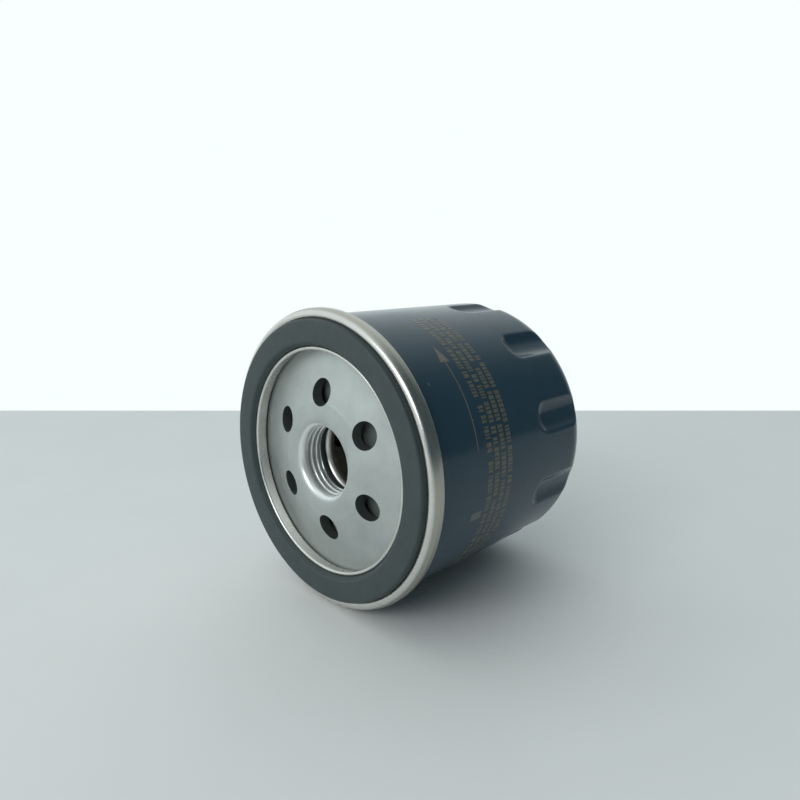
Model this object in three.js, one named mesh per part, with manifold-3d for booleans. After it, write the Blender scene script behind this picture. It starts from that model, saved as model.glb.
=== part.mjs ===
// Spin-on oil filter for a small engine, lying on its side.
//
// Units are millimetres. The filter's axis is Y. The sealing face of the gasket is the plane Y = 0 and
// faces -Y, the closed end of the can faces +Y, and +Z is up. Every turned piece is drawn as a profile
// of [radius, y] points and revolved about the axis.

import * as THREE from 'three';
import { mergeVertices } from 'three/addons/utils/BufferGeometryUtils.js';
import Module from 'manifold-3d';

const wasm = await Module();
wasm.setup();

// ---- driving dimensions ---------------------------------------------------------------------------

const GAP = 0.3;                     // clearance kept between touching pieces
const OUTER_FACETS = 40;             // facets round the outer pieces
const INNER_FACETS = 28;             // facets round the pieces inside the can

const seamRadius = 38;               // double seam that joins lid and can
const seamFront = 1.2;               // front of the seam's rolled bead
const seamRear = 4.8;                // rear edge of the seam's side band
const sheet = 0.4;                   // steel sheet of can, lid and end caps

const canRadius = 36.15;             // painted can, outside
const canLength = 68.8;              // sealing face to the middle of the closed end
const shoulderRadius = 9.5;          // rounding between can wall and closed end
const crownRise = 0.8;               // the closed end's raised middle
const crownRadius = 12;              // flat pad in that middle

const fluteCount = 11;               // pressed grips for a cap wrench
const fluteFirstAngle = 15.5;        // degrees from +X towards +Z
const fluteWidth = 8;
const fluteDepth = 1.6;
const fluteStart = 44;               // y of the flutes' round closed ends

const lipRadius = 28.65;             // middle of the lid's upturned inner lip
const lipFront = 1.5;
const channelWallRadius = 35.25;     // middle of the lid's outer channel wall
const channelFloor = 4.7;            // middle of the lid's channel floor

const gasketInner = 30;              // flat sealing face of the gasket
const gasketFaceOuter = 34.7;
const gasketOuter = 35.6;            // the gasket's bulging outer edge

const plateThickness = 3;
const plateOuter = 34.8;
const domeFront = 1.5;               // front of the domed plate, where it turns into the hub
const domeRadius = 10.7;
const domeFootFront = 4.95;          // front of the plate at the foot of the dome
const domeFootRadius = 28.6;
const plateRimFront = 5.2;           // flat rim under the lid's channel

const threadMinorRadius = 8.8;       // 3/4-16 UNF stud thread, at its crests
const hubRollRadius = domeRadius - threadMinorRadius;
const hubRadius = 11.5;
const hubEnd = 8.4;

const inletCount = 6;
const inletRadius = 3.5;
const inletCircleRadius = 17.4;
const inletFirstAngle = 92;          // degrees from +X towards +Z

const capRadius = 32.6;              // middle of the end caps' rims
const frontCapY = 10.5;              // middle of the front end cap's disc
const rearCapY = 58;                 // middle of the rear end cap's disc
const capRimDepth = 3.4;
const collarRadius = 9.2;            // front end cap's collar into the centre tube
const collarEnd = 13;

const tubeRadius = 13.1;             // perforated centre tube, outside
const tubeWall = 0.5;
const pottingDepth = 0.7;

const pleatCount = 44;
const pleatInner = 14.4;
const pleatOuter = 31.2;
const paperThickness = 0.6;

const bypassSeatY = 56.2;            // middle of the valve seat's disc
const bypassHoleRadius = 5.5;
const bypassDiscRadius = 7.6;
const cageRadius = 9.8;
const cageEnd = 43.8;

const bypassSpringRadius = 5.4;
const bypassSpringWire = 0.9;
const supportSpringRadius = 15.5;
const supportSpringWire = 2;

// ---- materials ------------------------------------------------------------------------------------

function finish(color, roughness, metalness) {
  return new THREE.MeshStandardMaterial({ color, roughness, metalness });
}

const paint = finish(0x1c2a3a, 0.25, 0.1);
const tinplate = finish(0xc9c9c2, 0.3, 0.9);
const plateSteel = finish(0x9aa5a2, 0.45, 0.7);
const springSteel = finish(0x8c8f90, 0.35, 0.9);
const gasketRubber = finish(0x3c4546, 0.6, 0);
const valveRubber = finish(0x5d6263, 0.7, 0);
const compound = finish(0x6b6a55, 0.8, 0);
const paper = finish(0xb08a55, 0.9, 0);
const plastisol = finish(0x9a8f6a, 0.7, 0);

// ---- solids ---------------------------------------------------------------------------------------

function solidOf(geometry) {
  const bare = geometry.clone();
  bare.deleteAttribute('normal');
  bare.deleteAttribute('uv');
  const merged = mergeVertices(bare, 1e-4);
  const index = merged.index.array;
  const triangles = [];
  for (let i = 0; i < index.length; i += 3) {
    const [a, b, c] = [index[i], index[i + 1], index[i + 2]];
    if (a !== b && b !== c && c !== a) triangles.push(a, b, c);
  }
  return new wasm.Manifold(new wasm.Mesh({
    numProp: 3,
    vertProperties: new Float32Array(merged.attributes.position.array),
    triVerts: new Uint32Array(triangles),
  }));
}

function geometryOf(solid) {
  const mesh = solid.getMesh();
  const geometry = new THREE.BufferGeometry();
  geometry.setAttribute('position', new THREE.BufferAttribute(new Float32Array(mesh.vertProperties), 3));
  geometry.setIndex(new THREE.BufferAttribute(new Uint32Array(mesh.triVerts), 1));
  geometry.computeVertexNormals();
  return geometry;
}

// Revolve a closed profile, or one that starts and ends on the axis. A flat facet faces straight down.
function turned(profile, facets = OUTER_FACETS) {
  let doubledArea = 0;
  profile.forEach(([r, y], i) => {
    const [nextR, nextY] = profile[(i + 1) % profile.length];
    doubledArea += r * nextY - nextR * y;
  });
  const outline = doubledArea > 0 ? [...profile] : [...profile].reverse();
  outline.push(outline[0]);
  const points = outline.map(([r, y]) => new THREE.Vector2(Math.max(r, 0), y));
  return solidOf(new THREE.LatheGeometry(points, facets, Math.PI / facets));
}

// Points on an arc in the [radius, y] plane. Angles are in degrees from +radius towards +y.
function arc(centreRadius, centreY, radius, from, to, steps) {
  const points = [];
  for (let i = 0; i <= steps; i += 1) {
    const angle = THREE.MathUtils.degToRad(from + (to - from) * i / steps);
    points.push([centreRadius + radius * Math.cos(angle), centreY + radius * Math.sin(angle)]);
  }
  return points;
}

// The closed outline of a sheet of even thickness that follows a path of [radius, y] points.
function sheetOutline(path, thickness = sheet) {
  const sides = [[], []];
  path.forEach(([r, y], i) => {
    const [beforeR, beforeY] = path[Math.max(i - 1, 0)];
    const [afterR, afterY] = path[Math.min(i + 1, path.length - 1)];
    const incoming = new THREE.Vector2(r - beforeR, y - beforeY);
    const outgoing = new THREE.Vector2(afterR - r, afterY - y);
    if (i === 0) incoming.copy(outgoing);
    if (i === path.length - 1) outgoing.copy(incoming);
    incoming.normalize();
    outgoing.normalize();
    const along = incoming.clone().add(outgoing).normalize();
    const reach = thickness / 2 / along.dot(incoming);
    sides[0].push([r - along.y * reach, y + along.x * reach]);
    sides[1].push([r + along.y * reach, y - along.x * reach]);
  });
  return [...sides[0], ...sides[1].reverse()];
}

function washer(innerRadius, outerRadius, front, rear, facets = INNER_FACETS) {
  const section = [[innerRadius, front], [outerRadius, front], [outerRadius, rear], [innerRadius, rear]];
  return turned(section, facets);
}

// A straight round cutter along the axis, at a place round it.
function axialPin(radius, front, rear, ringRadius, degrees, sides = 16) {
  const angle = THREE.MathUtils.degToRad(degrees);
  const geometry = new THREE.CylinderGeometry(radius, radius, rear - front, sides);
  geometry.translate(ringRadius * Math.cos(angle), (front + rear) / 2, ringRadius * Math.sin(angle));
  return solidOf(geometry);
}

// Turn a solid that was made on the +X side round the axis, from +X towards +Z.
function turnedTo(geometry, degrees) {
  return geometry.clone().rotateY(-THREE.MathUtils.degToRad(degrees));
}

function evenAngles(count, first = 0) {
  return Array.from({ length: count }, (_, i) => first + 360 * i / count);
}

class HelixCurve extends THREE.Curve {
  constructor(radius, front, rear, turns) {
    super();
    Object.assign(this, { radius, front, rear, turns });
  }

  getPoint(t, target = new THREE.Vector3()) {
    const angle = 2 * Math.PI * this.turns * t;
    const y = this.front + (this.rear - this.front) * t;
    return target.set(this.radius * Math.cos(angle), y, this.radius * Math.sin(angle));
  }
}

function coil(radius, wire, front, rear, turns, stepsPerTurn, sides) {
  const section = new THREE.Shape();
  for (let i = 0; i < sides; i += 1) {
    const angle = 2 * Math.PI * i / sides;
    const point = [wire / 2 * Math.cos(angle), wire / 2 * Math.sin(angle)];
    if (i === 0) section.moveTo(...point);
    else section.lineTo(...point);
  }
  return solidOf(new THREE.ExtrudeGeometry(section, {
    steps: Math.round(turns * stepsPerTurn),
    extrudePath: new HelixCurve(radius, front + wire / 2, rear - wire / 2, turns),
  }));
}

// ---- housing --------------------------------------------------------------------------------------

function seamingLid() {
  const beadRadius = 1.05;
  const beadCentre = channelWallRadius + beadRadius;
  const beadY = seamFront + sheet / 2 + beadRadius;
  const bandRadius = seamRadius - sheet / 2;
  const hemY = seamRear - sheet / 2;
  return turned(sheetOutline([
    [lipRadius, lipFront],
    [lipRadius, channelFloor - 0.4],
    [lipRadius + 0.4, channelFloor],
    [channelWallRadius - 0.4, channelFloor],
    [channelWallRadius, channelFloor - 0.4],
    ...arc(beadCentre, beadY, beadRadius, 180, 360, 5),
    [bandRadius, beadY + 0.4],
    [bandRadius, hemY - 0.4],
    [bandRadius - 0.4, hemY],
    [canRadius + 1.5 * GAP, hemY],
  ]));
}

function seamCompound() {
  return washer(canRadius - 0.1, canRadius + 0.4, 1.9, 2.3, OUTER_FACETS);
}

const shoulderSteps = 5;

function canProfile() {
  const wall = canRadius - sheet / 2;
  const hook = wall + 0.7;
  const hookTop = 3.15;
  const endY = canLength - crownRise - sheet / 2;
  const shoulder = shoulderRadius - sheet / 2;
  return [
    [hook, seamRear - 2 * sheet],
    [hook, hookTop],
    [(hook + wall) / 2, hookTop - 0.35],
    [wall, hookTop],
    ...arc(wall - shoulder, endY - shoulder, shoulder, 0, 90, shoulderSteps),
    [crownRadius + 4, endY],
    [crownRadius, endY + crownRise],
    [0, endY + crownRise],
  ];
}

// One pressed flute: a round bar sunk into the wall, with a ball at its closed end.
function fluteBar(grow) {
  const across = fluteWidth / 2;
  const barRadius = (across ** 2 + fluteDepth ** 2) / (2 * fluteDepth);
  const centreRadius = canRadius - fluteDepth + barRadius;
  const ballY = fluteStart + across;
  const ball = new THREE.SphereGeometry(barRadius + grow, 24, 16);
  const bar = new THREE.CylinderGeometry(barRadius + grow, barRadius + grow, canLength - ballY, 24);
  bar.rotateY(Math.PI / 24);
  bar.translate(0, (canLength - ballY) / 2, 0);
  ball.rotateY(Math.PI / 24);
  return [ball, bar].map((shape) => shape.translate(centreRadius, ballY, 0));
}

function flute(grow, angle) {
  const [ball, bar] = fluteBar(grow).map((shape) => solidOf(turnedTo(shape, angle)));
  return ball.add(bar);
}

function canShell() {
  const endY = canLength - crownRise;
  const filled = turned([
    [0, fluteStart - fluteWidth],
    [canRadius, fluteStart - fluteWidth],
    ...arc(canRadius - shoulderRadius, endY - shoulderRadius, shoulderRadius, 0, 90, shoulderSteps),
    [0, endY],
  ]);
  let can = turned(sheetOutline(canProfile()));
  for (const angle of evenAngles(fluteCount, fluteFirstAngle)) {
    const backing = flute(sheet, angle).intersect(filled);
    can = can.add(backing).subtract(flute(0, angle));
  }
  return can;
}

// Front of the plate: a dome that is level at its foot and where it turns into the hub.
function plateFront(radius) {
  const share = (domeFootRadius - radius) / (domeFootRadius - domeRadius);
  return domeFootFront - (domeFootFront - domeFront) * THREE.MathUtils.smoothstep(share, 0, 1);
}

function basePlate() {
  const stations = [13.5, 16, 18.5, 21, 24, domeFootRadius];
  const front = stations.map((r) => [r, plateFront(r)]);
  const back = stations.map((r) => [r, plateFront(r) + plateThickness]).reverse();
  let plate = turned([
    ...arc(domeRadius, domeFront + hubRollRadius, hubRollRadius, 180, 270, 4),
    ...front,
    [domeFootRadius + 1, plateRimFront],
    [plateOuter, plateRimFront],
    [plateOuter, plateRimFront + plateThickness],
    [domeFootRadius + 1, plateRimFront + plateThickness],
    ...back,
    [hubRadius, domeFront + plateThickness],
    [hubRadius, hubEnd],
    [threadMinorRadius, hubEnd],
  ]);
  for (const angle of evenAngles(inletCount, inletFirstAngle)) {
    plate = plate.subtract(axialPin(inletRadius, 0, 12, inletCircleRadius, angle));
  }
  return plate;
}

function sealingGasket() {
  const inner = lipRadius + sheet / 2 + GAP;
  const rear = channelFloor - sheet / 2 - GAP;
  const channelOuter = channelWallRadius - sheet / 2 - GAP;
  return turned([
    [inner, rear],
    [inner, 1.1],
    [gasketInner, 0],
    [gasketFaceOuter, 0],
    [gasketOuter - 0.25, 0.25],
    [gasketOuter, 0.7],
    [gasketOuter - 0.15, 1.1],
    [channelOuter, 1.9],
    [channelOuter, rear],
  ]);
}

// ---- valve at the inlet ---------------------------------------------------------------------------

function antiDrainValve() {
  const neckInner = hubRadius + 0.4;
  const neckOuter = neckInner + 1.4;
  const discFront = 7;
  const discRear = 8;
  const neckFront = 6;
  return turned([
    [neckInner, neckFront],
    [neckOuter, neckFront],
    [neckOuter, discFront],
    [22, discFront + 0.15],
    [23, discFront + 0.45],
    [24.4, discFront + 0.85],
    [24.4, discRear + 0.4],
    [22, discRear],
    [neckInner, discRear],
  ], INNER_FACETS);
}

function hubSealRing() {
  return washer(threadMinorRadius + 0.4, hubRadius, hubEnd + GAP, frontCapY - sheet / 2 - GAP);
}

// ---- filter element -------------------------------------------------------------------------------

function frontEndCap() {
  return turned(sheetOutline([
    [collarRadius, collarEnd],
    [collarRadius, frontCapY + 0.4],
    [collarRadius + 0.4, frontCapY],
    [capRadius - 0.5, frontCapY],
    [capRadius, frontCapY + 0.5],
    [capRadius, frontCapY + capRimDepth],
  ]), INNER_FACETS);
}

function rearEndCap() {
  return turned(sheetOutline([
    [11.2, rearCapY],
    [capRadius - 0.5, rearCapY],
    [capRadius, rearCapY - 0.5],
    [capRadius, rearCapY - capRimDepth],
  ]), INNER_FACETS);
}

const frontPottingStart = frontCapY + sheet / 2 + GAP;
const rearPottingEnd = rearCapY - sheet / 2 - GAP;

function potting(front) {
  const inner = tubeRadius + GAP;
  const outer = capRadius - sheet / 2 - GAP;
  return washer(inner, outer, front, front + pottingDepth);
}

function centreTube() {
  const inner = tubeRadius - tubeWall;
  let tube = washer(inner, tubeRadius, frontPottingStart, rearPottingEnd, INNER_FACETS);
  const rows = 4;
  const holesPerRow = 6;
  const holeRadius = 2.2;
  const firstRow = 18;
  const rowPitch = 10.5;
  const punch = new THREE.CylinderGeometry(holeRadius, holeRadius, 6, 8);
  punch.rotateZ(Math.PI / 2);
  for (let row = 0; row < rows; row += 1) {
    const offset = row % 2 ? 180 / holesPerRow : 0;
    for (const angle of evenAngles(holesPerRow, offset)) {
      const placed = punch.clone().translate(tubeRadius, firstRow + row * rowPitch, 0);
      tube = tube.subtract(solidOf(turnedTo(placed, angle)));
    }
  }
  return tube;
}

const mediaFront = frontPottingStart + pottingDepth + GAP;
const mediaRear = rearPottingEnd - pottingDepth - GAP;

// The star-folded paper: a zigzag between the inner and outer folds, of even thickness across its legs.
function pleatedMedia() {
  const pitch = 2 * Math.PI / pleatCount;
  const outer = new THREE.Shape();
  const inner = new THREE.Path();
  const legHalfAngle = (radius) => paperThickness / 2 / radius;
  for (let i = 0; i < pleatCount; i += 1) {
    const tip = pitch * i;
    const root = tip + pitch / 2;
    const outline = [
      [tip - legHalfAngle(pleatOuter), pleatOuter],
      [tip + legHalfAngle(pleatOuter), pleatOuter],
      [root - legHalfAngle(pleatInner) * 0.4, pleatInner + paperThickness],
      [root + legHalfAngle(pleatInner) * 0.4, pleatInner + paperThickness],
    ];
    const lining = [
      [tip, pleatOuter - 2 * paperThickness],
      [root - legHalfAngle(pleatInner), pleatInner],
      [root + legHalfAngle(pleatInner), pleatInner],
    ];
    outline.forEach(([angle, radius], j) => {
      const point = [radius * Math.cos(angle), radius * Math.sin(angle)];
      if (i === 0 && j === 0) outer.moveTo(...point);
      else outer.lineTo(...point);
    });
    lining.forEach(([angle, radius], j) => {
      const point = [radius * Math.cos(angle), radius * Math.sin(angle)];
      if (i === 0 && j === 0) inner.moveTo(...point);
      else inner.lineTo(...point);
    });
  }
  outer.closePath();
  inner.closePath();
  outer.holes.push(inner);
  const geometry = new THREE.ExtrudeGeometry(outer, { depth: mediaRear - mediaFront, bevelEnabled: false });
  geometry.rotateX(-Math.PI / 2);
  geometry.translate(0, mediaFront, 0);
  return solidOf(geometry);
}

// A folded strip crimped over one outer fold, where the two ends of the paper meet.
function mediaSeamClip() {
  const wall = 0.3;
  const half = paperThickness / 2 + GAP + wall;
  const top = pleatOuter + GAP + wall;
  const legEnd = top - 3;
  const start = frontCapY + capRimDepth + 0.6;
  const end = rearCapY - capRimDepth - 0.6;
  const section = new THREE.Shape([
    new THREE.Vector2(legEnd, -half),
    new THREE.Vector2(top, -half),
    new THREE.Vector2(top, half),
    new THREE.Vector2(legEnd, half),
    new THREE.Vector2(legEnd, half - wall),
    new THREE.Vector2(top - wall, half - wall),
    new THREE.Vector2(top - wall, wall - half),
    new THREE.Vector2(legEnd, wall - half),
  ]);
  const geometry = new THREE.ExtrudeGeometry(section, { depth: end - start, bevelEnabled: false });
  geometry.rotateX(-Math.PI / 2);
  geometry.translate(0, start, 0);
  return solidOf(geometry);
}

// ---- bypass valve, in the rear end cap ------------------------------------------------------------

const seatThickness = 0.6;

function bypassValveSeat() {
  const flangeY = rearCapY + sheet / 2 + GAP + seatThickness / 2;
  return turned(sheetOutline([
    [12.4, flangeY],
    [10.7, flangeY],
    [10.4, flangeY - 0.3],
    [10.4, bypassSeatY + 0.3],
    [10.1, bypassSeatY],
    [bypassHoleRadius, bypassSeatY],
  ], seatThickness), INNER_FACETS);
}

const cageTop = bypassSeatY - seatThickness / 2 - GAP - sheet / 2;

function bypassValveCage() {
  const drainRadius = 3;
  let cage = turned(sheetOutline([
    [11.8, cageTop],
    [cageRadius + 0.3, cageTop],
    [cageRadius, cageTop - 0.3],
    [cageRadius, cageEnd + 0.3],
    [cageRadius - 0.3, cageEnd],
    [drainRadius, cageEnd],
  ]), INNER_FACETS);
  const window = new THREE.BoxGeometry(8, 6.5, 8);
  window.translate(cageRadius, (cageTop + cageEnd) / 2, 0);
  for (const angle of evenAngles(4, 45)) {
    cage = cage.subtract(solidOf(turnedTo(window, angle)));
  }
  return cage;
}

const sealRear = bypassSeatY - seatThickness / 2 - GAP;
const sealThickness = 0.6;
const discRear = sealRear - sealThickness - GAP;
const discThickness = 0.8;

function bypassValveSeal() {
  return washer(bypassHoleRadius + 0.4, bypassDiscRadius, sealRear - sealThickness, sealRear);
}

function bypassValveDisc() {
  const front = discRear - discThickness;
  return turned([
    [0, front - 1],
    [3.2, front - 1],
    [3.8, front],
    [bypassDiscRadius, front],
    [bypassDiscRadius, discRear],
    [0, discRear],
  ], INNER_FACETS);
}

function bypassValveSpring() {
  const front = cageEnd + sheet / 2 + GAP;
  const rear = discRear - discThickness - GAP;
  return coil(bypassSpringRadius, bypassSpringWire, front, rear, 4.5, 12, 6);
}

function supportSpring() {
  const front = rearCapY + sheet / 2 + GAP;
  const rear = canLength - crownRise - sheet - GAP;
  return coil(supportSpringRadius, supportSpringWire, front, rear, 2.5, 16, 8);
}

// ---- assembly -------------------------------------------------------------------------------------

const group = new THREE.Group();

function place(name, solid, material) {
  const mesh = new THREE.Mesh(geometryOf(solid), material);
  mesh.name = name;
  group.add(mesh);
}

place('can_shell', canShell(), paint);
place('seaming_lid', seamingLid(), tinplate);
place('seam_compound', seamCompound(), compound);
place('base_plate', basePlate(), plateSteel);
place('sealing_gasket', sealingGasket(), gasketRubber);
place('anti_drain_valve', antiDrainValve(), valveRubber);
place('hub_seal_ring', hubSealRing(), gasketRubber);
place('front_end_cap', frontEndCap(), tinplate);
place('rear_end_cap', rearEndCap(), tinplate);
place('front_potting', potting(frontPottingStart), plastisol);
place('rear_potting', potting(rearPottingEnd - pottingDepth), plastisol);
place('centre_tube', centreTube(), tinplate);
place('pleated_media', pleatedMedia(), paper);
place('media_seam_clip', mediaSeamClip(), tinplate);
place('bypass_valve_seat', bypassValveSeat(), tinplate);
place('bypass_valve_cage', bypassValveCage(), tinplate);
place('bypass_valve_disc', bypassValveDisc(), plateSteel);
place('bypass_valve_seal', bypassValveSeal(), valveRubber);
place('bypass_valve_spring', bypassValveSpring(), springSteel);
place('support_spring', supportSpring(), springSteel);

export default group;
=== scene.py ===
"""Looks for the spin-on oil filter: smooth surfaces, print, materials, floor, light and camera.

The filter's axis is Y. Profiles are lists of (radius, y) points in millimetres, and every mesh is
scaled to metres as it is made.
"""

import math
import random

import bmesh
import bpy
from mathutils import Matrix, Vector


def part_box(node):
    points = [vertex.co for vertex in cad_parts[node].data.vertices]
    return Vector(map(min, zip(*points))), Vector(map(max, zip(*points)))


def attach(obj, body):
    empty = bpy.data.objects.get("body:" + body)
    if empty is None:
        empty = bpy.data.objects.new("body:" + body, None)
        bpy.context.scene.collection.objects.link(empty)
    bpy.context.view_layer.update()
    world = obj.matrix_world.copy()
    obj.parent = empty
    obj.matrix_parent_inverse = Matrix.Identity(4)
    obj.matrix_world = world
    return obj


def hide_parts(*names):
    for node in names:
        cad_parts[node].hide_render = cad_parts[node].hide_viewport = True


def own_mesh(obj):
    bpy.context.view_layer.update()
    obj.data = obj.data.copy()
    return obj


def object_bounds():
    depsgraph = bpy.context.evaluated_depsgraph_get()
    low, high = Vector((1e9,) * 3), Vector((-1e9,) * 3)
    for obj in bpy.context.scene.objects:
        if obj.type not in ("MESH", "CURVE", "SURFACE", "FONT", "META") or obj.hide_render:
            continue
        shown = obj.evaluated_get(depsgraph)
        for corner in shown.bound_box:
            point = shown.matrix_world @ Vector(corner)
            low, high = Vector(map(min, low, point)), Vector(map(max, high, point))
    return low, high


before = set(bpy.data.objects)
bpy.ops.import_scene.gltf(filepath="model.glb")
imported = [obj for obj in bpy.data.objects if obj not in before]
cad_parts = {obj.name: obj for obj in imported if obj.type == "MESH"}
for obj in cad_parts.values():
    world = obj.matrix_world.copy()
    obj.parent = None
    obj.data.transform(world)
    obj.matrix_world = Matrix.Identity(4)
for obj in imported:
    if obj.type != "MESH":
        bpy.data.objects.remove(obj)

CAD_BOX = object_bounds()
MM = 0.001
HOUSING = "housing"
ELEMENT = "filter_element"


def span(node):
    """(radius, front y, rear y) of a node that is centred on the axis, in millimetres."""
    low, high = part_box(node)
    return high.x / MM, low.y / MM, high.y / MM


SHEET = 0.4
SEAM_RADIUS, SEAM_FRONT, SEAM_REAR = span("seaming_lid")
CAN_RADIUS = 36.1
CAN_END = span("can_shell")[2]
GASKET_RADIUS = span("sealing_gasket")[0]
GASKET_REAR = span("sealing_gasket")[2]
PLATE_RADIUS, _, HUB_END = span("base_plate")
CAP_RADIUS, CAP_FRONT, _ = span("front_end_cap")
COLLAR_RADIUS = 9.2
COLLAR_END = 13
CAP_RIM_DEPTH = 3.4
REAR_CAP_REAR = span("rear_end_cap")[2]

BEAD_RADIUS = 1.05
CHANNEL_WALL = 35.25
CHANNEL_FLOOR = 4.7
CHANNEL_BEND = 0.7
LIP_RADIUS = 28.65
LIP_FRONT = 1.5
LIP_ROLL = 0.3

SHOULDER_RADIUS = 9.3
CROWN_RISE = 0.8
CROWN_RADIUS = 12

FLUTE_COUNT = 11
FLUTE_FIRST_ANGLE = 15.5
FLUTE_WIDTH = 8.0
FLUTE_DEPTH = 1.6
FLUTE_START = 44
FLUTE_RIM = 0.35
FLUTE_SQUARENESS = 2.6
FLUTE_EASE = 0.12

THREAD_RADIUS = 8.8
THREAD_PITCH = 25.4 / 16
THREAD_DEPTH = 0.9
HUB_RADIUS = 11.5
DOME_RADIUS = 10.7
ROLL_RADIUS = DOME_RADIUS - THREAD_RADIUS
PLATE_THICKNESS = 3
DOME_FRONT = 1.5
DOME_FOOT_FRONT = 4.95
DOME_FOOT_RADIUS = 28.6
PLATE_RIM_FRONT = 5.2

INLET_COUNT = 6
INLET_RADIUS = 3.4
INLET_CIRCLE = 17.4
INLET_FIRST_ANGLE = 92.5


# ---- profiles -------------------------------------------------------------------------------------

def arc(radius, y, size, start, end, steps=8):
    """Points on an arc in the (radius, y) plane, angles in degrees from +radius towards +y."""
    angles = [math.radians(start + (end - start) * i / steps) for i in range(steps + 1)]
    return [(radius + size * math.cos(a), y + size * math.sin(a)) for a in angles]


def filleted(points, closed=True, steps=4):
    """Rounds the corners of an outline. A point is (radius, y) or (radius, y, fillet radius)."""
    out = []
    last = len(points) - 1
    for i, point in enumerate(points):
        here = Vector(point[:2])
        fillet = point[2] if len(point) == 3 else 0
        if not fillet or (not closed and i in (0, last)):
            out.append(tuple(here))
            continue
        before = (Vector(points[i - 1][:2]) - here).normalized()
        after = (Vector(points[(i + 1) % len(points)][:2]) - here).normalized()
        half = before.angle(after) / 2
        centre = here + (before + after).normalized() * fillet / math.sin(half)
        start = here + before * fillet / math.tan(half) - centre
        end = here + after * fillet / math.tan(half) - centre
        turn = start.angle_signed(end)
        for k in range(steps + 1):
            angle = -turn * k / steps
            x = start.x * math.cos(angle) - start.y * math.sin(angle)
            y = start.x * math.sin(angle) + start.y * math.cos(angle)
            out.append((centre.x + x, centre.y + y))
    return out


def stepped(points, longest):
    """The same line with extra points, so that no step along it is longer than this."""
    out = [points[0]]
    for start, end in zip(points, points[1:]):
        count = max(1, math.ceil(math.dist(start, end) / longest))
        for k in range(1, count + 1):
            share = k / count
            out.append((start[0] + (end[0] - start[0]) * share, start[1] + (end[1] - start[1]) * share))
    return out


def sheet_outline(path, thickness=SHEET):
    """The closed outline of a sheet of even thickness along an open path."""
    left, right = [], []
    last = len(path) - 1
    for i, (radius, y) in enumerate(path):
        here = Vector((radius, y))
        incoming = (here - Vector(path[i - 1])).normalized() if i else None
        outgoing = (Vector(path[i + 1]) - here).normalized() if i < last else None
        incoming = incoming or outgoing
        outgoing = outgoing or incoming
        along = (incoming + outgoing).normalized()
        side = Vector((-along.y, along.x)) * (thickness / 2 / along.dot(incoming))
        left.append(tuple(here + side))
        right.append(tuple(here - side))
    return left + right[::-1]


# ---- meshes ---------------------------------------------------------------------------------------

def new_piece(name, vertices, faces, smooth_below=38):
    """A mesh object from millimetre vertices, smooth except at edges sharper than this many degrees."""
    mesh = bpy.data.meshes.new(name)
    mesh.from_pydata([(x * MM, y * MM, z * MM) for x, y, z in vertices], [], faces)
    work = bmesh.new()
    work.from_mesh(mesh)
    bmesh.ops.remove_doubles(work, verts=work.verts, dist=1e-8)
    bmesh.ops.recalc_face_normals(work, faces=work.faces)
    work.to_mesh(mesh)
    work.free()
    piece = bpy.data.objects.new(name, mesh)
    bpy.context.collection.objects.link(piece)
    shade(piece, smooth_below)
    return piece


def shade(piece, smooth_below=38):
    piece.data.polygons.foreach_set("use_smooth", [True] * len(piece.data.polygons))
    piece.data.set_sharp_from_angle(angle=math.radians(smooth_below))


def on_axis(radius, y, angle):
    return radius * math.cos(angle), y, radius * math.sin(angle)


def turned(name, outline, around=192, place=None, smooth_below=38):
    """A closed surface of revolution. place(index, radius, y, angle) may move a point to (radius, y)."""
    vertices, faces = [], []
    rows = len(outline)
    for column in range(around):
        angle = 2 * math.pi * column / around
        for index, (radius, y) in enumerate(outline):
            if place:
                radius, y = place(index, radius, y, angle)
            vertices.append(on_axis(max(radius, 0), y, angle))
    for column in range(around):
        here, there = column * rows, (column + 1) % around * rows
        for row in range(rows):
            following = (row + 1) % rows
            if outline[row][0] <= 1e-6 and outline[following][0] <= 1e-6:
                continue
            faces.append((here + row, here + following, there + following, there + row))
    return new_piece(name, vertices, faces, smooth_below)


def carve(piece, cutters, smooth_below=38):
    """Cuts other pieces out of this one, and removes them."""
    for cutter in cutters:
        cut = piece.modifiers.new("cut", "BOOLEAN")
        cut.operation = "DIFFERENCE"
        cut.solver = "EXACT"
        cut.object = cutter
        bpy.context.view_layer.update()
        depsgraph = bpy.context.evaluated_depsgraph_get()
        carved = bpy.data.meshes.new_from_object(piece.evaluated_get(depsgraph))
        piece.modifiers.clear()
        piece.data = carved
        bpy.data.objects.remove(cutter)
    remove_slivers(piece.data)
    shade(piece, smooth_below)


def remove_slivers(mesh, shorter_than=0.001):
    """Clears what cutting leaves: edges shorter than this many millimetres, and faces folded together."""
    work = bmesh.new()
    work.from_mesh(mesh)
    bmesh.ops.triangulate(work, faces=work.faces)
    bmesh.ops.dissolve_degenerate(work, dist=shorter_than * MM, edges=work.edges)
    by_corners = {}
    for face in work.faces:
        by_corners.setdefault(frozenset(face.verts), []).append(face)
    folded = [face for twins in by_corners.values() if len(twins) == 2 for face in twins]
    bmesh.ops.delete(work, geom=folded, context="FACES")
    work.to_mesh(mesh)
    work.free()


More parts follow.
